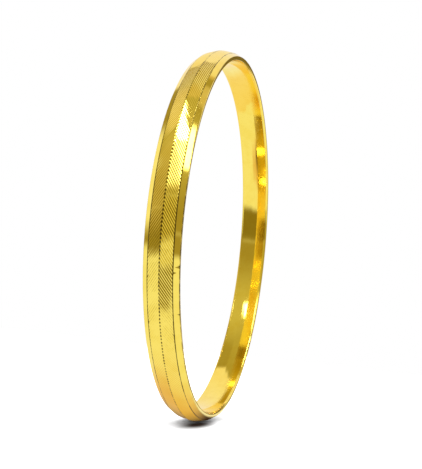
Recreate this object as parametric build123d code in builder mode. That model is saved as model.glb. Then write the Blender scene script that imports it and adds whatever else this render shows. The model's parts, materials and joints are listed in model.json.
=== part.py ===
from build123d import *
from math import cos, degrees, radians, sin, tan
import os

# Slim hollow bangle, closed all round, held upright: the bore axis is +Y and +Z is up.
# The origin is the centre of the bore, midway between the two rims. Sizes are in millimetres.
# A section is drawn as (radius, y) on a plane through the bore axis, then turned about that axis.

# Driving dimensions
BORE_DIAMETER = 60.3  # inside diameter at the land: bangle size 2-6
BAND_WIDTH = 5.42  # rim to rim, along the bore axis
BAND_THICKNESS = 1.85  # bore land to outer ridge
FACET_WIDTH = 1.83  # ridge to facet edge, along the bore axis
FACET_SLOPE = 12.3  # degrees, fall of each wide facet away from the ridge
BEVEL_SLOPE = 31.5  # degrees, fall of each narrow bevel towards its rim
LAND_WIDTH = 0.80  # straight middle of the inside, the narrowest part of the bore
FLANK_SLOPE = 5.3  # degrees, fall of the inside away from the wrist, from the land to each rim
LAND_ROUND = 1.5  # radius that blends the land into each flank

SHELL_WALL = 0.35  # sheet of the formed outer channel
LINER_WALL = 0.30  # sheet of the inner lining band
JOINT_GAP = 0.05  # solder joint between a liner edge and a channel foot
BEAD_HEIGHT = 0.50  # solder joint, from its face to its top inside the hollow
BEAD_WIDTH = 0.36  # width of the solder fillet inside the hollow
BEAD_TOE = 0.13  # solder face to the fillet's toe, which sinks into the liner and is trimmed
BEAD_SET_BACK = 0.01  # solder face below the foot's face
SEAM_GAP = 0.12  # butt seam where each bent strip closes

SPLINT_WALL = 0.35  # strip that backs the channel's seam
SPLINT_WIDTH = 3.0
SPLINT_LENGTH = 12.0

# Seam places, in degrees about +Y from +X: the two seams are half a turn apart
SHELL_SEAM_ANGLE = 0.0
LINER_SEAM_ANGLE = 180.0

# Worked-out dimensions
HALF_WIDTH = BAND_WIDTH / 2
BORE_RADIUS = BORE_DIAMETER / 2
RIDGE_RADIUS = BORE_RADIUS + BAND_THICKNESS
FACET_EDGE_RADIUS = RIDGE_RADIUS - FACET_WIDTH * tan(radians(FACET_SLOPE))
RIM_RADIUS = FACET_EDGE_RADIUS - (HALF_WIDTH - FACET_WIDTH) * tan(radians(BEVEL_SLOPE))
CHANNEL_HALF_WIDTH = HALF_WIDTH - SHELL_WALL
LINER_HALF_WIDTH = CHANNEL_HALF_WIDTH - JOINT_GAP
HOLLOW_RIDGE_RADIUS = RIDGE_RADIUS - SHELL_WALL / cos(radians(FACET_SLOPE))

# The inside is a shallow roof: the land, a tangent arc at each side of it, and two straight flanks
FLANK_START = LAND_WIDTH / 2 + LAND_ROUND * sin(radians(FLANK_SLOPE))
FLANK_START_RADIUS = BORE_RADIUS + LAND_ROUND * (1 - cos(radians(FLANK_SLOPE)))
FOOT_RADIUS = FLANK_START_RADIUS + (CHANNEL_HALF_WIDTH - FLANK_START) * tan(radians(FLANK_SLOPE))
FOOT_EDGE_RADIUS = FOOT_RADIUS + SHELL_WALL * tan(radians(FLANK_SLOPE))

SEAM_ARC = degrees(SEAM_GAP / RIDGE_RADIUS)
SPLINT_ARC = degrees(SPLINT_LENGTH / RIDGE_RADIUS)


def section_plane(angle):
    """Plane through the bore axis, turned about +Y: its X is the radius and its Y is the axis."""
    return Plane.XY.rotated((0, angle, 0))


def channel_section():
    """Four facets and two rims, hollow, and open towards the wrist between the rims' feet."""
    with BuildSketch() as section:
        with BuildLine():
            Polyline(
                (FOOT_RADIUS, -CHANNEL_HALF_WIDTH),
                (FOOT_EDGE_RADIUS, -HALF_WIDTH),
                (RIM_RADIUS, -HALF_WIDTH),
                (FACET_EDGE_RADIUS, -FACET_WIDTH),
                (RIDGE_RADIUS, 0),
                (FACET_EDGE_RADIUS, FACET_WIDTH),
                (RIM_RADIUS, HALF_WIDTH),
                (FOOT_EDGE_RADIUS, HALF_WIDTH),
                (FOOT_RADIUS, CHANNEL_HALF_WIDTH),
                close=True,
            )
        outline = make_face()
        offset(outline, amount=-SHELL_WALL, kind=Kind.INTERSECTION, mode=Mode.SUBTRACT)
        with Locations((FOOT_RADIUS, 0)):
            Rectangle(3 * SHELL_WALL, 2 * CHANNEL_HALF_WIDTH, mode=Mode.SUBTRACT)
    return section.sketch


def liner_section():
    """The lining band: sheet of one thickness, roof-shaped in section, its edges parted square."""
    flank_run = LINER_HALF_WIDTH - FLANK_START
    edge_radius = FLANK_START_RADIUS + flank_run * tan(radians(FLANK_SLOPE))
    with BuildSketch() as section:
        with BuildLine():
            land = Line((BORE_RADIUS, -LAND_WIDTH / 2), (BORE_RADIUS, LAND_WIDTH / 2))
            for start, side in ((land @ 1, 1), (land @ 0, -1)):
                bend = JernArc(start, (0, side), LAND_ROUND, -side * FLANK_SLOPE)
                Line(bend @ 1, (edge_radius, side * LINER_HALF_WIDTH))
                Line(
                    (edge_radius, side * LINER_HALF_WIDTH),
                    (edge_radius + LINER_WALL, side * LINER_HALF_WIDTH),
                )
                Line(
                    (edge_radius + LINER_WALL, side * LINER_HALF_WIDTH),
                    (bend @ 1) + (LINER_WALL, 0),
                )
                JernArc(start + (LINER_WALL, 0), (0, side), LAND_ROUND, -side * FLANK_SLOPE)
            Line((land @ 0) + (LINER_WALL, 0), (land @ 1) + (LINER_WALL, 0))
        make_face()
    return section.sketch


def rim_bead_section(side):
    """One solder joint: it fills the gap beside the liner and fillets the corner behind it."""
    face_radius = FOOT_RADIUS + BEAD_SET_BACK
    wall_y = side * CHANNEL_HALF_WIDTH
    with BuildSketch() as section:
        with BuildLine():
            Polyline(
                (face_radius, wall_y),
                (face_radius + BEAD_HEIGHT, wall_y),
                (face_radius + BEAD_TOE, wall_y - side * BEAD_WIDTH),
                (face_radius, wall_y - side * JOINT_GAP),
                close=True,
            )
        make_face()
        add(liner_section(), mode=Mode.SUBTRACT)
        add(channel_section(), mode=Mode.SUBTRACT)
    return section.sketch


# Outer channel: a formed strip bent round and closed at its butt seam
with BuildPart() as outer_shell:
    with BuildSketch(section_plane(SHELL_SEAM_ANGLE + SEAM_ARC / 2)):
        add(channel_section())
    revolve(axis=Axis.Y, revolution_arc=360 - SEAM_ARC)

# Solder wafer that fills the channel's seam
with BuildPart() as shell_seam_solder:
    with BuildSketch(section_plane(SHELL_SEAM_ANGLE - SEAM_ARC / 2)):
        add(channel_section())
    revolve(axis=Axis.Y, revolution_arc=SEAM_ARC)

# Splint: a short strip inside the hollow, bent to the ridge, that backs the channel's seam
with BuildPart() as seam_splint:
    with BuildSketch(section_plane(SHELL_SEAM_ANGLE - SPLINT_ARC / 2)):
        with BuildLine():
            edge_fall = SPLINT_WIDTH / 2 * tan(radians(FACET_SLOPE))
            Polyline(
                (HOLLOW_RIDGE_RADIUS, 0),
                (HOLLOW_RIDGE_RADIUS - edge_fall, SPLINT_WIDTH / 2),
                (HOLLOW_RIDGE_RADIUS - edge_fall - SPLINT_WALL, SPLINT_WIDTH / 2),
                (HOLLOW_RIDGE_RADIUS - SPLINT_WALL, 0),
                (HOLLOW_RIDGE_RADIUS - edge_fall - SPLINT_WALL, -SPLINT_WIDTH / 2),
                (HOLLOW_RIDGE_RADIUS - edge_fall, -SPLINT_WIDTH / 2),
                close=True,
            )
        make_face()
    revolve(axis=Axis.Y, revolution_arc=SPLINT_ARC)

# Lining band: closes the channel and makes the smooth face against the wrist
with BuildPart() as inner_liner:
    with BuildSketch(section_plane(LINER_SEAM_ANGLE + SEAM_ARC / 2)):
        add(liner_section())
    revolve(axis=Axis.Y, revolution_arc=360 - SEAM_ARC)

# Solder wafer that fills the lining band's seam
with BuildPart() as liner_seam_solder:
    with BuildSketch(section_plane(LINER_SEAM_ANGLE - SEAM_ARC / 2)):
        add(liner_section())
    revolve(axis=Axis.Y, revolution_arc=SEAM_ARC)

# Solder joints all round, one under each rim: front is the -Y rim and back is the +Y rim
with BuildPart() as front_rim_solder:
    with BuildSketch(Plane.XY):
        add(rim_bead_section(-1))
    revolve(axis=Axis.Y)

with BuildPart() as back_rim_solder:
    with BuildSketch(Plane.XY):
        add(rim_bead_section(1))
    revolve(axis=Axis.Y)

outer_shell.part.label = "outer_shell"
shell_seam_solder.part.label = "shell_seam_solder"
seam_splint.part.label = "seam_splint"
inner_liner.part.label = "inner_liner"
liner_seam_solder.part.label = "liner_seam_solder"
front_rim_solder.part.label = "front_rim_solder"
back_rim_solder.part.label = "back_rim_solder"

os.makedirs("parts", exist_ok=True)
export_step(outer_shell.part, "parts/outer_shell.step")
export_step(shell_seam_solder.part, "parts/shell_seam_solder.step")
export_step(seam_splint.part, "parts/seam_splint.step")
export_step(inner_liner.part, "parts/inner_liner.step")
export_step(liner_seam_solder.part, "parts/liner_seam_solder.step")
export_step(front_rim_solder.part, "parts/front_rim_solder.step")
export_step(back_rim_solder.part, "parts/back_rim_solder.step")
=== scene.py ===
import json
import math

import bmesh
import bpy
import numpy as np
from mathutils import Matrix, Vector


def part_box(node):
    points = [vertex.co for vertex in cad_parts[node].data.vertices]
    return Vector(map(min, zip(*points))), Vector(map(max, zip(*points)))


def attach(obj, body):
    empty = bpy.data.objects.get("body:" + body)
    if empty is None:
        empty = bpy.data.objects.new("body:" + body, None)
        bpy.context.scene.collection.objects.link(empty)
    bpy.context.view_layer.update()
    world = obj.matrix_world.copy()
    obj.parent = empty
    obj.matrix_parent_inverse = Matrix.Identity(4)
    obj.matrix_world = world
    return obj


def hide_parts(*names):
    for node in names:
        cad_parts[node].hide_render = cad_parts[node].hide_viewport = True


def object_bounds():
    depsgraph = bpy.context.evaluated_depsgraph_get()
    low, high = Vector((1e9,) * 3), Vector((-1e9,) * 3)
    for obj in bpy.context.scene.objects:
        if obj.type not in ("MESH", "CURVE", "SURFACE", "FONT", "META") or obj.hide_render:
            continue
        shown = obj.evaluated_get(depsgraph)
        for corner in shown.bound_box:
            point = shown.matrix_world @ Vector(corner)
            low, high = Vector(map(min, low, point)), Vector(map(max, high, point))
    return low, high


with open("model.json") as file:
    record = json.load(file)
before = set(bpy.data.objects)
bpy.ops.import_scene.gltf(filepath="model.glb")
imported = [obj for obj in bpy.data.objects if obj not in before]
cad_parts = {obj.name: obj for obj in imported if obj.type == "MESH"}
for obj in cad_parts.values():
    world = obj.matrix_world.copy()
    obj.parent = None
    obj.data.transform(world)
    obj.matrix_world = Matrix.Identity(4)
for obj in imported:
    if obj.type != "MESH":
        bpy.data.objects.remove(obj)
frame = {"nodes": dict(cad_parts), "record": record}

cad_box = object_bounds()

MM = 0.001

# ------------------------------------------------------------------------------------------
# The band's section, in metres. Radii and widths are read from the frame, and the slopes repeat
# the CAD's driving dimensions. Angles round the band are about +Y, from +X towards +Z.
shell_low, shell_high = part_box("outer_shell")
liner_low, liner_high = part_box("inner_liner")
bore_mount = next(m for m in frame["record"]["mounts"] if m["name"] == "wrist_bore")

RIDGE_RADIUS = shell_high.z
HALF_WIDTH = shell_high.y
LINER_HALF_WIDTH = liner_high.y
BORE_RADIUS = bore_mount["dims"]["r_mm"] * MM
LAND_HALF_WIDTH = bore_mount["dims"]["length_mm"] * MM / 2
FACET_WIDTH = 1.83 * MM
FACET_SLOPE = math.radians(12.3)
BEVEL_SLOPE = math.radians(31.5)
FLANK_SLOPE = math.radians(5.3)
LAND_ROUND = 1.5 * MM
SHELL_WALL = 0.35 * MM
LINER_WALL = 0.30 * MM
FACET_EDGE_RADIUS = RIDGE_RADIUS - FACET_WIDTH * math.tan(FACET_SLOPE)
RIM_RADIUS = FACET_EDGE_RADIUS - (HALF_WIDTH - FACET_WIDTH) * math.tan(BEVEL_SLOPE)
CHANNEL_HALF_WIDTH = HALF_WIDTH - SHELL_WALL
HOLLOW_RIDGE_RADIUS = RIDGE_RADIUS - SHELL_WALL / math.cos(FACET_SLOPE)

# The cut pattern: straight V cuts across each wide facet, meeting in a herringbone at the ridge
CUT_COUNT = 360          # cuts round each facet
STEPS_PER_CUT = 4        # mesh steps across one cut, crest to crest
CUT_LEAN = 20            # mesh steps that a cut runs round the band between ridge and facet edge
CUT_COLUMNS = 6          # mesh columns along a cut
CUT_FLANK = {1: math.radians(11), -1: math.radians(18)}   # flank tilt on the +Y and the -Y facet
CUT_UNEVENNESS = 0.05    # how much the depth differs from cut to cut
CUT_SEED = 7
FACET_BULGE = 0.055 * MM    # rise of a cut's middle over the straight line between its ends
RING_STEPS = CUT_COUNT * STEPS_PER_CUT
STEP_ANGLE = 2 * math.pi / RING_STEPS

# Dark residue and painted shade, from 0 on bright metal to about 1: partly dirt, and partly painted shade
# that darkens the cuts, the turned lines and the rims. It is strongest near one angle round the band
GRIME_SHADE_ANGLE = math.radians(193)
GRIME_SHADE_FALL = 16                              # how quickly it fades away from there
CUT_GRIME_SHADE = {1: (0.2, 0.8), -1: (0.2, 0.9)}  # least and most residue and painted shade: at the bottom of each facet's cuts,
LINE_GRIME_SHADE = (0.95, 1.05)                    # in the turned lines, as a factor,
RIM_GRIME_SHADE = (0.6, 1.1)                       # and on the rims, as a factor
CUT_BOTTOM = 0.8                             # share of the deepest cut that counts as its bottom
# Residue and painted shade over the rim's section: the turned line, its side, the bevel's end, the rim's
# corner, wall and foot, and the hollow
GRIME_SHADE_LEVELS = {"line": 1.6, "line_side": 0.2, "bevel_end": 0.1, "corner": 0.9,
         "wall": 0.8, "foot": 0.6, "hollow": 1.0}

LINE_HALF_WIDTH = 0.07 * MM     # turned line beside each facet edge
RIDGE_HALF_WIDTH = 0.07 * MM    # turned line along the ridge
LINE_DEPTH = 0.03 * MM
LINE_MARGIN = 0.03              # share of the facet over which a line's residue ends
RIM_ROUND = 0.08 * MM           # outer corner of each rim
CORNER_RISE = 0.1 * RIM_ROUND   # that corner's middle, over the sharp corner's radius
CORNER_INSET = 0.3 * RIM_ROUND  # and in from the rim's face
FOOT_ROUND = 0.28 * MM          # inner corner of each rim, worn round
FOOT_STEPS = 6                  # mesh steps over that corner
SHELL_CREASE = 16               # degrees between faces, from which an edge is sharp
LINER_CREASE = 30
LINER_STEPS = 720               # mesh steps round the lining band
LINER_COLUMNS = 24              # and across it

# Small knocks in the edges: angle round the band in degrees, y and radius in millimetres
NICKS = [
    (197.5, 2.40, 0.22), (199.5, 1.85, 0.20), (198.0, -1.95, 0.20), (196.5, -2.65, 0.25),
    (212.0, 1.85, 0.18), (209.5, -2.65, 0.22), (215.5, -1.85, 0.20), (224.0, 1.90, 0.20),
    (137.0, -0.10, 0.22), (63.0, 1.85, 0.20), (31.0, -1.85, 0.22), (342.0, 0.05, 0.20),
    (305.0, 2.60, 0.25), (12.0, 2.55, 0.20), (96.0, -2.60, 0.22), (281.0, -1.90, 0.20),
]
NICK_DEPTH = 0.06 * MM
# how dark a knock's middle is made
NICK_DARKENING = 0.95


def ring_point(radius, y, angle):
    """A point of the band."""
    return np.array([radius * math.cos(angle), y, radius * math.sin(angle)])


def new_object(name, vertices, faces, grime_and_shade, sharp_degrees):
    """A mesh object with outward faces and smooth shading, creased where faces turn sharply."""
    mesh = bpy.data.meshes.new(name)
    mesh.from_pydata([tuple(v) for v in vertices], [], faces)
    if grime_and_shade is not None:
        layer = mesh.attributes.new("grime_and_shade", "FLOAT", "POINT")
        layer.data.foreach_set("value", np.array(grime_and_shade, dtype=np.float32))
    made = bmesh.new()
    made.from_mesh(mesh)
    bmesh.ops.recalc_face_normals(made, faces=made.faces)
    made.to_mesh(mesh)
    made.free()
    mesh.shade_smooth()
    mesh.set_sharp_from_angle(angle=math.radians(sharp_degrees))
    obj = bpy.data.objects.new(name, mesh)
    bpy.context.scene.collection.objects.link(obj)
    return obj


def inside_radius(y):
    """Radius of the inside face: the land, a tangent arc, and a straight flank to each rim."""
    off = max(abs(y) - LAND_HALF_WIDTH, 0.0)
    arc_run = LAND_ROUND * math.sin(FLANK_SLOPE)
    if off <= arc_run:
        return BORE_RADIUS + LAND_ROUND - math.sqrt(LAND_ROUND ** 2 - off ** 2)
    arc_rise = LAND_ROUND * (1 - math.cos(FLANK_SLOPE))
    return BORE_RADIUS + arc_rise + (off - arc_run) * math.tan(FLANK_SLOPE)


# ------------------------------------------------------------------------------------------
# Outer shell

class RingMesh:
    """Rings of points round the band, joined one to the next into a skin."""

    def __init__(self):
        self.vertices = []
        self.faces = []
        self.grime_and_shade = []

    def ring(self, radius, y, grime_and_shade, sink=None):
        """One ring; sink lowers each of its points towards the bore axis."""
        first = len(self.vertices)
        for i in range(RING_STEPS):
            depth = sink[i] if sink is not None else 0.0
            self.vertices.append(ring_point(radius - depth, y, i * STEP_ANGLE))
            self.grime_and_shade.append(grime_and_shade[i])
        return [first + i for i in range(RING_STEPS)]

    def cut_ring(self, start, end, share, cut_grime_and_shade):
        """A ring along the cuts, which run from one ring to another over a slightly crowned facet."""
        first = len(self.vertices)
        crown = 1 + 4 * share * (1 - share) * FACET_BULGE / RIDGE_RADIUS
        for a, b in zip(start, end):
            point = (1 - share) * self.vertices[a] + share * self.vertices[b]
            self.vertices.append(point * np.array([crown, 1, crown]))
        self.grime_and_shade.extend(cut_grime_and_shade)
        return [first + i for i in range(RING_STEPS)]

    def bridge(self, near, far):
        """Faces between two rings."""
        for i in range(RING_STEPS):
            k = (i + 1) % RING_STEPS
            self.faces.append((near[i], near[k], far[k], far[i]))

    def dent(self, degrees, y, radius):
        """A small knock: it sinks the outer skin round a point and darkens it there."""
        points = np.array(self.vertices)
        place = ring_point(RIDGE_RADIUS, y, math.radians(degrees))
        reach = np.hypot(points[:, 0], points[:, 2])
        along = (points[:, 0] * place[0] + points[:, 2] * place[2]) / (reach * RIDGE_RADIUS)
        arc = RIDGE_RADIUS * np.arccos(np.clip(along, -1, 1))
        off = np.hypot(arc, points[:, 1] - y)
        outer = reach > RIM_RADIUS - RIM_ROUND
        for i in np.flatnonzero((off < radius) & outer):
            share = (1 - (off[i] / radius) ** 2) ** 2
            scale = 1 - share * NICK_DEPTH / reach[i]
            self.vertices[i] = self.vertices[i] * np.array([scale, 1, scale])
            self.grime_and_shade[i] = max(self.grime_and_shade[i], NICK_DARKENING * share ** 0.5)


def cut_sink(side, draw):
    """Depth of every mesh step below the facet, over all the cuts of one facet."""
    cut_pitch = RIDGE_RADIUS * STEP_ANGLE * STEPS_PER_CUT
    lean_length = RIDGE_RADIUS * STEP_ANGLE * CUT_LEAN
    slant = FACET_WIDTH / math.cos(FACET_SLOPE)
    across = cut_pitch * slant / math.hypot(slant, lean_length)
    full_depth = across / 2 * math.tan(CUT_FLANK[side])
    half = STEPS_PER_CUT / 2
    depths = full_depth * (1 + CUT_UNEVENNESS * draw.uniform(-1, 1, CUT_COUNT))
    sink = np.zeros(RING_STEPS)
    for i in range(RING_STEPS):
        cut, step = divmod(i, STEPS_PER_CUT)
        sink[i] = depths[cut] * (1 - abs(step - half) / half)
    return sink


def grime_shade_kept(least, most):
    """Residue and painted shade at each mesh step round the band: strongest along one stretch, and faint
    elsewhere.
    """
    angles = STEP_ANGLE * np.arange(RING_STEPS)
    kept = ((1 + np.cos(angles - GRIME_SHADE_ANGLE)) / 2) ** GRIME_SHADE_FALL
    return least + (most - least) * kept


def rim_points(side):
    """(radius, y, residue and painted shade) from the facet edge's turned line, over the rim, into the
    hollow. The dark values on the rim's corner, wall and foot and in the hollow are painted shade.
    """
    def bevel(y):
        return FACET_EDGE_RADIUS - (y - FACET_WIDTH) * math.tan(BEVEL_SLOPE)

    line_y = FACET_WIDTH + LINE_HALF_WIDTH
    points = [(bevel(line_y) - LINE_DEPTH, line_y, GRIME_SHADE_LEVELS["line"])]
    for y, grime_and_shade in (
            (line_y + LINE_HALF_WIDTH, GRIME_SHADE_LEVELS["line_side"]),
            (line_y + 2 * LINE_HALF_WIDTH, 0.0),
            (HALF_WIDTH - 2 * RIM_ROUND, 0.0),
            (HALF_WIDTH - RIM_ROUND, GRIME_SHADE_LEVELS["bevel_end"])):
        points.append((bevel(y), y, grime_and_shade))
    points.append((bevel(HALF_WIDTH) + CORNER_RISE, HALF_WIDTH - CORNER_INSET, GRIME_SHADE_LEVELS["corner"]))
    points.append((bevel(HALF_WIDTH) - RIM_ROUND, HALF_WIDTH, GRIME_SHADE_LEVELS["wall"]))
    foot = inside_radius(HALF_WIDTH)
    for step in range(FOOT_STEPS + 1):
        share = step / FOOT_STEPS
        turn = math.pi / 2 * share
        points.append((foot + FOOT_ROUND * (1 - math.sin(turn)),
                       HALF_WIDTH - FOOT_ROUND * (1 - math.cos(turn)), GRIME_SHADE_LEVELS["foot"] * (1 - share)))
    points.append((inside_radius(CHANNEL_HALF_WIDTH), CHANNEL_HALF_WIDTH, GRIME_SHADE_LEVELS["foot"]))
    inner_rim = bevel(CHANNEL_HALF_WIDTH) - SHELL_WALL / math.cos(BEVEL_SLOPE)
    points.append((inner_rim, CHANNEL_HALF_WIDTH, GRIME_SHADE_LEVELS["hollow"]))
    edge_y = FACET_WIDTH - SHELL_WALL * math.tan((BEVEL_SLOPE + FACET_SLOPE) / 2) / 2
    edge_radius = HOLLOW_RIDGE_RADIUS - edge_y * math.tan(FACET_SLOPE)
    points.append((edge_radius, edge_y, GRIME_SHADE_LEVELS["hollow"]))
    return [(r, side * y, t) for r, y, t in points]


def build_outer_shell():
    """The channel: V cuts on the two wide facets, turned lines, bevels and rims; hollow inside."""
    skin = RingMesh()
    draw = np.random.RandomState(CUT_SEED)
    beside_radius = RIDGE_RADIUS - RIDGE_HALF_WIDTH * math.tan(FACET_SLOPE)
    columns = [LINE_MARGIN, *np.linspace(0, 1, CUT_COLUMNS + 1)[1:-1], 1 - LINE_MARGIN]
    ends = []
    ridge = None
    for side in (1, -1):
        sink = cut_sink(side, draw)
        # Residue and painted shade in the turned lines, heavier where a cut meets them, and in the cuts'
        # bottoms
        dots = (1 + sink / sink.max()) / 2 * grime_shade_kept(*LINE_GRIME_SHADE)
        bottom = sink > CUT_BOTTOM * sink.max()
        if ridge is None:
            ridge = skin.ring(RIDGE_RADIUS - LINE_DEPTH, 0.0, dots, sink)
        beside = skin.ring(beside_radius, side * RIDGE_HALF_WIDTH, dots, sink)
        skin.bridge(ridge, beside)
        edge_dots = (1 + np.roll(dots, CUT_LEAN)) / 2 * grime_shade_kept(*LINE_GRIME_SHADE)
        edge = skin.ring(FACET_EDGE_RADIUS, side * FACET_WIDTH, edge_dots, np.roll(sink, CUT_LEAN))
        leaned = edge[CUT_LEAN:] + edge[:CUT_LEAN]
        last = beside
        for share in columns:
            here = skin.cut_ring(beside, leaned, share, bottom * grime_shade_kept(*CUT_GRIME_SHADE[side]))
            skin.bridge(last, here)
            last = here
        skin.bridge(last, leaned)
        last = edge
        for radius, y, grime_and_shade in rim_points(side):
            here = skin.ring(radius, y, grime_and_shade * grime_shade_kept(*RIM_GRIME_SHADE))
            skin.bridge(last, here)
            last = here
        ends.append(last)
    inside = skin.ring(HOLLOW_RIDGE_RADIUS, 0.0, np.full(RING_STEPS, GRIME_SHADE_LEVELS["hollow"]))
    for end in ends:
        skin.bridge(end, inside)
    for degrees, y, radius in NICKS:
        skin.dent(degrees, y * MM, radius * MM)
    return new_object("outer_shell_cut", skin.vertices, skin.faces, skin.grime_and_shade, SHELL_CREASE)


# ------------------------------------------------------------------------------------------
# Inner liner

def turned_ring(section, steps):
    """Vertices and faces of a closed (radius, y) section turned about the bore axis."""
    vertices = []
    faces = []
    count = len(section)
    for i in range(steps):
        angle = 2 * math.pi * i / steps
        vertices.extend(ring_point(r, y, angle) for r, y in section)
        here = i * count
        ahead = ((i + 1) % steps) * count
        for k in range(count):
            m = (k + 1) % count
            faces.append((here + k, here + m, ahead + m, ahead + k))
    return vertices, faces


def build_inner_liner():
    """The polished lining band: its inside face is the one that the wrist sees."""
    across = [LINER_HALF_WIDTH * (2 * k / LINER_COLUMNS - 1) for k in range(LINER_COLUMNS + 1)]
    inner = [(inside_radius(y), y) for y in across]
    outer = [(r + LINER_WALL, y) for r, y in inner]
    vertices, faces = turned_ring(inner + outer[::-1], LINER_STEPS)
    return new_object("inner_liner_polished", vertices, faces, None, LINER_CREASE)


# ------------------------------------------------------------------------------------------
# Materials

class Nodes:
    """A small helper that adds and joins shader nodes."""

    def __init__(self, tree):
        self.tree = tree
        tree.nodes.clear()

    def add(self, kind, settings=None, inputs=None):
        """A node, with its settings and its inputs, which are values or other nodes' sockets."""
        node = self.tree.nodes.new(kind)
        for key, value in (settings or {}).items():
            setattr(node, key, value)
        for key, value in (inputs or {}).items():
            self.set(node.inputs[key], value)
        return node

    def set(self, socket, value):
        """Links a socket to another node's, or gives it a value."""
        if isinstance(value, bpy.types.NodeSocket):
            self.tree.links.new(value, socket)
        else:
            socket.default_value = value

    def math(self, operation, a, b=0.0, c=0.0):
        """A Math node's result."""
        node = self.add("ShaderNodeMath", {"operation": operation})
        for socket, value in zip(node.inputs, (a, b, c)):
            self.set(socket, value)
        return node.outputs[0]

    def mix(self, factor, a, b):
        """Colour a where the factor is 0, and b where it is 1."""
        node = self.add("ShaderNodeMix", {"data_type": "RGBA"})
        for socket, value in zip((node.inputs[0], node.inputs[6], node.inputs[7]), (factor, a, b)):
            self.set(socket, value)
        return node.outputs[2]

    def ramp(self, value, low, high, to_low=0.0, to_high=1.0):
        """Eases from to_low to to_high as the value goes from low to high."""
        node = self.add("ShaderNodeMapRange", {"interpolation_type": "SMOOTHSTEP"}, {
            "Value": value, "From Min": low, "From Max": high, "To Min": to_low, "To Max": to_high})
        return node.outputs[0]

    def finish(self, shader):
        """The material's output."""
        out = self.add("ShaderNodeOutputMaterial")
        self.set(out.inputs[0], shader.outputs[0])


def new_material(name):
    """A material and its empty node tree."""
    material = bpy.data.materials.new(name)
    material.use_nodes = True
    return material, Nodes(material.node_tree)


def band_coordinates(n):
    """Object coordinates unrolled: arc length round the band, y and radius, in millimetres."""
    place = n.add("ShaderNodeTexCoord").outputs["Object"]
    x, y, z = n.add("ShaderNodeSeparateXYZ", None, {0: place}).outputs
    radius = n.math("SQRT", n.math("ADD", n.math("MULTIPLY", x, x), n.math("MULTIPLY", z, z)))
    arc = n.math("MULTIPLY", n.math("ARCTAN2", z, x), RIDGE_RADIUS / MM)
    across = n.math("DIVIDE", y, MM)
    return arc, across, n.math("DIVIDE", radius, MM)


# Noise on the metal: scale per millimetre, detail and roughness
CLOUD_NOISE = {"Scale": 0.45, "Detail": 5.0, "Roughness": 0.6}
RUB_NOISE = {"Scale": 7.0, "Detail": 6.0, "Roughness": 0.7}
GRAIN_NOISE = {"Scale": 3.0, "Detail": 3.0}
CLOUD_RANGE = (0.4, 0.68)           # noise between which plain gold turns into the worn tint
RUB_RANGE = (0.3, 0.75)             # noise between which the roughness rises
RUB_STRETCH = 0.04                  # the rub marks run round the band
RUB_DEPTH = 0.01 * MM
RUB_SPREAD = (0.8, 1.3)             # least and most roughness, as factors
WORN_TINT = (0.97, 0.94, 0.80)      # colour of the cloudy patches, as factors
# Colour where residue and painted shade cover the metal
RESIDUE_AND_SHADE = (0.06, 0.036, 0.006, 1.0)
RESIDUE_AND_SHADE_COVER = 0.94                # share of the metal that the thickest residue and painted shade hide
RESIDUE_AND_SHADE_ROUGHNESS = 0.4             # and the roughness that it adds
RESIDUE_AND_SHADE_PATCHES = (0.38, 0.6, 0.78, 1.1)    # cloud noise, low and high, and the factors it gives
RESIDUE_AND_SHADE_RANGE = (0.42, 0.95)        # residue and painted shade that just shows, and that covers
RESIDUE_AND_SHADE_TRACE = (0.05, 0.3)         # mesh value of residue and painted shade under which nothing shows, whatever the grain


def noise(n, place, settings):
    """Noise at a place given in millimetres."""
    return n.add("ShaderNodeTexNoise", None, {"Vector": place, **settings}).outputs["Fac"]


def residue_and_shade_cover(n, place, cloud):
    """Share of the metal that residue and painted shade hide: the mesh's value of both, made patchy and
    grainy.
    """
    residue_and_shade = n.add("ShaderNodeAttribute", {"attribute_name": "grime_and_shade"}).outputs["Fac"]
    grain = n.math("SUBTRACT", noise(n, place, GRAIN_NOISE), 0.5)
    patchy = n.math("MULTIPLY", residue_and_shade, n.ramp(cloud, *RESIDUE_AND_SHADE_PATCHES))
    held = n.math("ADD", patchy, n.math("MULTIPLY", grain, 0.5))
    cover = n.ramp(held, *RESIDUE_AND_SHADE_RANGE, 0.0, RESIDUE_AND_SHADE_COVER)
    return n.math("MULTIPLY", cover, n.ramp(residue_and_shade, *RESIDUE_AND_SHADE_TRACE))


def gold_material(name, base, roughness, holds_grime_and_shade, lines):
    """Plated gold: cloudy colour, rub marks in roughness and bump, and any dark residue and painted
    shade.
    """
    material, n = new_material(name)
    arc, across, radius = band_coordinates(n)
    place = n.add("ShaderNodeCombineXYZ", None, {0: arc, 1: across, 2: radius}).outputs[0]
    cloud = noise(n, place, CLOUD_NOISE)
    stretched = n.add("ShaderNodeCombineXYZ", None, {
        0: n.math("MULTIPLY", arc, RUB_STRETCH), 1: across, 2: radius}).outputs[0]
    rubbed = noise(n, stretched, RUB_NOISE)
    worn = [part * tint for part, tint in zip(base, WORN_TINT)]
    colour = n.mix(n.ramp(cloud, *CLOUD_RANGE), (*base, 1.0), (*worn, 1.0))
    rough = n.ramp(rubbed, *RUB_RANGE, *(roughness * factor for factor in RUB_SPREAD))
    if holds_grime_and_shade:
        dark = residue_and_shade_cover(n, place, cloud)
        colour = n.mix(dark, colour, RESIDUE_AND_SHADE)
        rough = n.math("ADD", rough, n.math("MULTIPLY", dark, RESIDUE_AND_SHADE_ROUGHNESS))
    bump = n.add("ShaderNodeBump", None, {
        "Strength": lines, "Distance": RUB_DEPTH, "Height": rubbed})
    shader = n.add("ShaderNodeBsdfPrincipled", None, {
        "Base Color": colour, "Metallic": 1.0, "Roughness": rough, "Normal": bump.outputs[0]})
    n.finish(shader)
    return material


GOLD = (1.0, 0.79, 0.155)
SOLDER = (0.97, 0.75, 0.18)
BRASS = (0.80, 0.58, 0.22)

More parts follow.
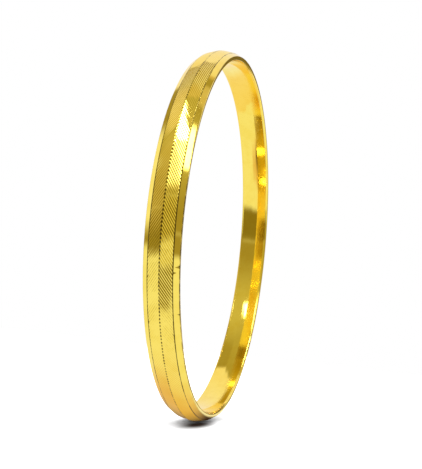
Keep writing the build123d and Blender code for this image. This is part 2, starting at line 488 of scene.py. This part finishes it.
# Each material: base colour, roughness, whether it holds residue and painted shade, strength of the rub
# marks' bump
shell = build_outer_shell()
shell.data.materials.append(gold_material("cut_gold", GOLD, 0.042, True, 0.12))
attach(shell, "root")
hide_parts("outer_shell", "shell_seam_solder")

liner = build_inner_liner()
liner.data.materials.append(gold_material("polished_gold", GOLD, 0.065, False, 0.3))
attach(liner, "root")
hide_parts("inner_liner", "liner_seam_solder")

solder_gold = gold_material("solder", SOLDER, 0.14, False, 0.3)
bare_brass = gold_material("bare_brass", BRASS, 0.32, False, 1.0)
for node_name, material in (
        ("seam_splint", bare_brass), ("front_rim_solder", solder_gold), ("back_rim_solder", solder_gold)):
    node_mesh = frame["nodes"][node_name].data
    node_mesh.materials.clear()
    node_mesh.materials.append(material)


# ------------------------------------------------------------------------------------------
# Studio

FLOOR_Z = cad_box[0].z
FLOOR_RADIUS = 1400 * MM
NEAR_FLOOR_RADIUS = 45 * MM
DOME_RADIUS = 1500 * MM
ROUND_SEGMENTS = 96

DOME_SPILL = 0.05       # share of the dome's light that the metal passes on to the floor
WORLD_STRENGTH = 2.2    # soft light on the floor

# What the metal reflects: the room's dim warm tone, and these panels painted over it in this order.
# Centre and half-width in azimuth about +Z from +X, low and high in elevation, softness, colour
ROOM = (0.38, 0.31, 0.10)
PANELS = {
    "ceiling":        (0, 181, 70, 91, 6, (0.46, 0.39, 0.15)),
    "front_glow":     (180, 60, 20, 66, 20, (0.62, 0.56, 0.28)),
    "left_wall":      (112, 14, 6, 46, 5, (0.66, 0.55, 0.36)),
    "left_window":    (70, 24, 43, 58, 4, (1.10, 0.95, 0.95)),
    "left_light":     (93, 13, 0, 33, 4, (1.00, 1.00, 1.08)),
    "right_wall":     (-94, 16, 56, 70, 4, (0.70, 0.60, 0.44)),
    "right_ceiling":  (-38, 20, 66, 88, 6, (0.80, 0.62, 0.38)),
    "far_ceiling":    (-157, 20, 67, 86, 4, (1.20, 1.20, 0.90)),
    "backdrop":       (2, 53, -90, 70, 3, (0.97, 0.92, 0.92)),
    "backdrop_top":   (12, 50, 56, 71, 3, (0.97, 0.90, 0.88)),
    "key_side":       (214, 12, 36, 60, 4, (2.4, 2.4, 2.4)),
    "key_softbox":    (230, 6, 26.5, 62, 2, (5.0, 5.0, 5.0)),
    "key_end":        (172, 9, 40, 50.5, 2, (8.0, 8.0, 8.0)),
    "right_strip":    (-146, 7, -16, 30, 3, (0.74, 0.66, 0.30)),
    "table":          (0, 181, -91, -6, 2, (0.96, 0.97, 0.93)),
    "warm_table":     (10, 50, -70, -20, 8, (0.96, 0.84, 0.64)),
    "table_end":      (183, 53, -17, -6, 2, (0.38, 0.31, 0.11)),
    "front_table":    (181, 40, -29, -8, 3, (0.26, 0.205, 0.045)),
    "side_flag":      (-13, 10, 3, 36, 5, (0.20, 0.15, 0.04)),
    "side_flag_low":  (-13, 10, -18, 3, 4, (0.36, 0.28, 0.07)),
}

# The overhead key: a straight-edged lamp, its corners in (azimuth, elevation) degrees
KEY_CORNERS = [(-43, 81.2), (-111, 68), (-119, 57), (-139, 61), (-137, 69)]
KEY_COLOUR = (21.0, 21.0, 21.0)
KEY_SOFTNESS = math.radians(1.0)

# Patterns on the floor: centre (x, y), squash across the band, and radii between which each fades
CONTACT_SHADE = (-6.5 * MM, -1.7 * MM, 4.0, 2 * MM, 12.5 * MM)
GLOW_SHADE = (3 * MM, -1 * MM, 1.0, 3 * MM, 14 * MM)
GLOW_GOLDEN = (-2.5 * MM, 3.5 * MM, 1.6, 9 * MM, 23 * MM)

# Their colours: the floor as the camera sees it, and the glow that the metal sees instead
FLOOR_COLOUR = (0.9, 0.9, 0.9, 1.0)
FLOOR_SHADE = (0.04, 0.026, 0.02, 1.0)
PALE_GLOW = (0.96, 0.96, 0.92, 1.0)
GOLDEN_GLOW = (0.82, 0.57, 0.34, 1.0)
DARK_GLOW = (0.06, 0.035, 0.02, 1.0)


def soft_window(n, azimuth, elevation, centre, half_width, low, high, softness):
    """1 inside a panel of the dome and 0 outside it, with soft borders."""
    wrapped = n.math("WRAP", n.math("SUBTRACT", azimuth, centre), 180.0, -180.0)
    off = n.math("ABSOLUTE", wrapped)
    inside = n.ramp(off, half_width - softness, half_width + softness, 1.0, 0.0)
    above = n.ramp(elevation, low - softness, low + softness)
    below = n.ramp(elevation, high - softness, high + softness, 1.0, 0.0)
    return n.math("MULTIPLY", inside, n.math("MULTIPLY", above, below))


def pointing(azimuth, elevation):
    """Unit vector of a direction given in degrees."""
    turn = math.radians(azimuth)
    rise = math.radians(elevation)
    return Vector((math.cos(turn) * math.cos(rise), math.sin(turn) * math.cos(rise), math.sin(rise)))


def soft_polygon(n, unit, corners, softness):
    """1 inside a convex panel with straight edges and 0 outside it."""
    middle = sum((pointing(*corner) for corner in corners), Vector())
    inside = 1.0
    for here, ahead in zip(corners, corners[1:] + corners[:1]):
        edge = pointing(*here).cross(pointing(*ahead)).normalized()
        if edge.dot(middle) < 0:
            edge.negate()
        depth = n.add("ShaderNodeVectorMath", {"operation": "DOT_PRODUCT"}, {0: unit, 1: edge})
        inside = n.math("MULTIPLY", inside, n.ramp(depth.outputs["Value"], -softness, softness))
    return inside


def finish_glow(material, n, colour):
    """Light that the metal reflects to the eye, and that it hardly passes on to the floor."""
    bounced = n.add("ShaderNodeLightPath").outputs["Diffuse Depth"]
    shine = n.ramp(bounced, 0.0, 1.0, 1.0, DOME_SPILL)
    n.finish(n.add("ShaderNodeEmission", None, {"Color": colour, "Strength": shine}))
    return material


def dome_material():
    """The studio that the metal reflects: its panels in one soft-edged, glowing backdrop."""
    material, n = new_material("studio_dome")
    place = n.add("ShaderNodeTexCoord").outputs["Object"]
    unit = n.add("ShaderNodeVectorMath", {"operation": "NORMALIZE"}, {0: place})
    x, y, z = n.add("ShaderNodeSeparateXYZ", None, {0: unit.outputs[0]}).outputs
    azimuth = n.math("MULTIPLY", n.math("ARCTAN2", y, x), 180 / math.pi)
    elevation = n.math("MULTIPLY", n.math("ARCSINE", z), 180 / math.pi)
    colour = (*ROOM, 1.0)
    for *shape, panel_colour in PANELS.values():
        mask = soft_window(n, azimuth, elevation, *shape)
        colour = n.mix(mask, colour, (*panel_colour, 1.0))
    key = soft_polygon(n, unit.outputs[0], KEY_CORNERS, KEY_SOFTNESS)
    colour = n.mix(key, colour, (*KEY_COLOUR, 1.0))
    return finish_glow(material, n, colour)


def make_dome():
    """The dome: it lights the metal only, and nothing else sees it."""
    mesh = bpy.data.meshes.new("studio_dome")
    made = bmesh.new()
    bmesh.ops.create_uvsphere(
        made, u_segments=ROUND_SEGMENTS, v_segments=ROUND_SEGMENTS // 2, radius=DOME_RADIUS)
    made.to_mesh(mesh)
    made.free()
    dome = bpy.data.objects.new("studio_dome", mesh)
    bpy.context.scene.collection.objects.link(dome)
    mesh.materials.append(dome_material())
    dome.visible_camera = False
    dome.visible_diffuse = False
    dome.visible_shadow = False


def floor_disc(name, radius, material):
    """A round sheet on the floor."""
    turns = [2 * math.pi * k / ROUND_SEGMENTS for k in range(ROUND_SEGMENTS)]
    mesh = bpy.data.meshes.new(name)
    corners = [(radius * math.cos(turn), radius * math.sin(turn), FLOOR_Z) for turn in turns]
    mesh.from_pydata(corners, [], [tuple(range(ROUND_SEGMENTS))])
    mesh.materials.append(material)
    disc = bpy.data.objects.new(name, mesh)
    bpy.context.scene.collection.objects.link(disc)
    return disc


def away_from(n, centre_x, centre_y, squash, near, far):
    """0 near a point of the floor and 1 far from it; squash narrows the pattern across the band."""
    place = n.add("ShaderNodeTexCoord").outputs["Object"]
    x, y, _ = n.add("ShaderNodeSeparateXYZ", None, {0: place}).outputs
    along = n.math("SUBTRACT", x, centre_x)
    across = n.math("MULTIPLY", n.math("SUBTRACT", y, centre_y), squash)
    square = n.math("ADD", n.math("MULTIPLY", along, along), n.math("MULTIPLY", across, across))
    return n.ramp(n.math("SQRT", square), near, far)


def floor_material():
    """The plain pale floor, shaded where the band stands on it."""
    material, n = new_material("pale_floor")
    colour = n.mix(away_from(n, *CONTACT_SHADE), FLOOR_SHADE, FLOOR_COLOUR)
    n.finish(n.add("ShaderNodeBsdfDiffuse", None, {"Color": colour}))
    return material


def floor_glow_material():
    """What the metal sees of the floor close by: pale far out, golden, then shaded at the contact."""
    material, n = new_material("floor_glow")
    golden = n.mix(away_from(n, *GLOW_SHADE), DARK_GLOW, GOLDEN_GLOW)
    colour = n.mix(away_from(n, *GLOW_GOLDEN), golden, PALE_GLOW)
    return finish_glow(material, n, colour)


def make_floor():
    """The pale floor, and the disc that stands for it in the metal's reflections."""
    floor = floor_disc("floor", FLOOR_RADIUS, floor_material())
    floor.visible_glossy = False
    glow = floor_disc("floor_glow", NEAR_FLOOR_RADIUS, floor_glow_material())
    glow.visible_camera = False
    glow.visible_diffuse = False
    glow.visible_shadow = False


def make_world():
    """Even white light for the floor, and white behind it; the metal reflects the dome instead."""
    world = bpy.data.worlds.new("soft_dome")
    bpy.context.scene.world = world
    world.use_nodes = True
    n = Nodes(world.node_tree)
    white = (1.0, 1.0, 1.0, 1.0)
    back = n.add("ShaderNodeBackground", None, {"Color": white, "Strength": WORLD_STRENGTH})
    seen = n.add("ShaderNodeBackground", None, {"Color": white, "Strength": 1.0})
    rays = n.add("ShaderNodeLightPath")
    mix = n.add("ShaderNodeMixShader")
    n.set(mix.inputs[0], rays.outputs["Is Camera Ray"])
    n.set(mix.inputs[1], back.outputs[0])
    n.set(mix.inputs[2], seen.outputs[0])
    out = n.add("ShaderNodeOutputWorld")
    n.set(out.inputs[0], mix.outputs[0])
    world.cycles_visibility.glossy = False


def make_camera():
    """A camera close to the band, a little below its centre, that looks almost along its plane."""
    azimuth = math.radians(14.41)      # off the band's own plane, towards -Y
    elevation = math.radians(-7.80)
    distance = 140.4 * MM
    roll = math.radians(6.5)
    pan = math.radians(-0.52)          # of the line of sight, away from the band's centre
    tilt = math.radians(0.08)
    place = distance * Vector((
        -math.cos(azimuth) * math.cos(elevation),
        -math.sin(azimuth) * math.cos(elevation),
        math.sin(elevation)))
    ahead = -place.normalized()
    right = ahead.cross(Vector((0, 0, 1))).normalized()
    up = right.cross(ahead)
    ahead = (ahead + math.tan(pan) * right + math.tan(tilt) * up).normalized()
    right = ahead.cross(Vector((0, 0, 1))).normalized()
    up = right.cross(ahead)
    rolled_right = math.cos(roll) * right + math.sin(roll) * up
    rolled_up = -math.sin(roll) * right + math.cos(roll) * up
    data = bpy.data.cameras.new("camera")
    data.lens = 61.1
    data.sensor_width = 36.0
    data.clip_start = 5 * MM
    data.clip_end = 10000 * MM
    camera = bpy.data.objects.new("camera", data)
    bpy.context.scene.collection.objects.link(camera)
    turn = Matrix((rolled_right, rolled_up, -ahead)).transposed()
    camera.matrix_world = Matrix.Translation(place) @ turn.to_4x4()
    bpy.context.scene.camera = camera


make_dome()
make_floor()
make_world()
make_camera()
bpy.context.scene.view_settings.view_transform = "Standard"
bpy.context.scene.view_settings.look = "None"
